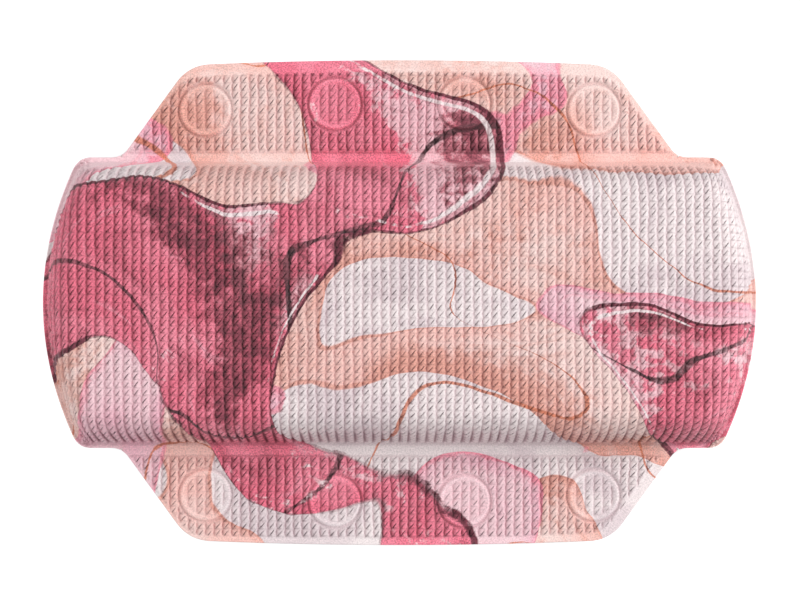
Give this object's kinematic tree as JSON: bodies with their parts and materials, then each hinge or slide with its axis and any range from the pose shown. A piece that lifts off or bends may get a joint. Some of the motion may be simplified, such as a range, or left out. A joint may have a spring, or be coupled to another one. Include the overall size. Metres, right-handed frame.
{
  "type": "bath pillow",
  "caption": "Soft bath pillow: a foam-filled padded centre with a thin flap welded above it and below it, and suction cups on the backs of the flaps.",
  "frame": {"origin": "centre of the bounding box in plan, on the plane of the suction cups' rims and the pad's back panel", "axes": "+X along the pillow, +Y up towards the upper flap as the pillow hangs in a tub, +Z out of the front, towards the head that rests on it"},
  "size_m": [0.32, 0.2176, 0.047],
  "materials": {
    "printed_foam": "embossed vinyl foam sheet, printed, with a soft sheen",
    "back_vinyl": "smooth soft vinyl, semi-matt",
    "core_foam": "open-cell foam",
    "clear_vinyl": "clear soft vinyl, glossy"
  },
  "bodies": {
    "pad": {"pad_front_cover": "printed_foam", "pad_back_sheet": "back_vinyl", "foam_core": "core_foam"},
    "upper_flap": {"upper_flap_front_sheet": "printed_foam", "upper_flap_back_sheet": "back_vinyl", "upper_flap_suction_cup_1": "clear_vinyl", "upper_flap_suction_cup_2": "clear_vinyl", "upper_flap_suction_cup_3": "clear_vinyl", "upper_flap_suction_cup_4": "clear_vinyl"},
    "lower_flap": {"lower_flap_front_sheet": "printed_foam", "lower_flap_back_sheet": "back_vinyl", "lower_flap_suction_cup_1": "clear_vinyl", "lower_flap_suction_cup_2": "clear_vinyl", "lower_flap_suction_cup_3": "clear_vinyl", "lower_flap_suction_cup_4": "clear_vinyl"}
  },
  "joints": [
    {"name": "upper_flap_fold", "type": "hinge", "parent": "pad", "child": "upper_flap", "pos_m": [0, 0.067, 0.01045], "axis": [1, 0, 0], "range_deg": [-90, 75], "stiffness_Nm_per_rad": 0.25},
    {"name": "lower_flap_fold", "type": "hinge", "parent": "pad", "child": "lower_flap", "pos_m": [0, -0.067, 0.01045], "axis": [-1, 0, 0], "range_deg": [-90, 75], "stiffness_Nm_per_rad": 0.25}
  ]
}
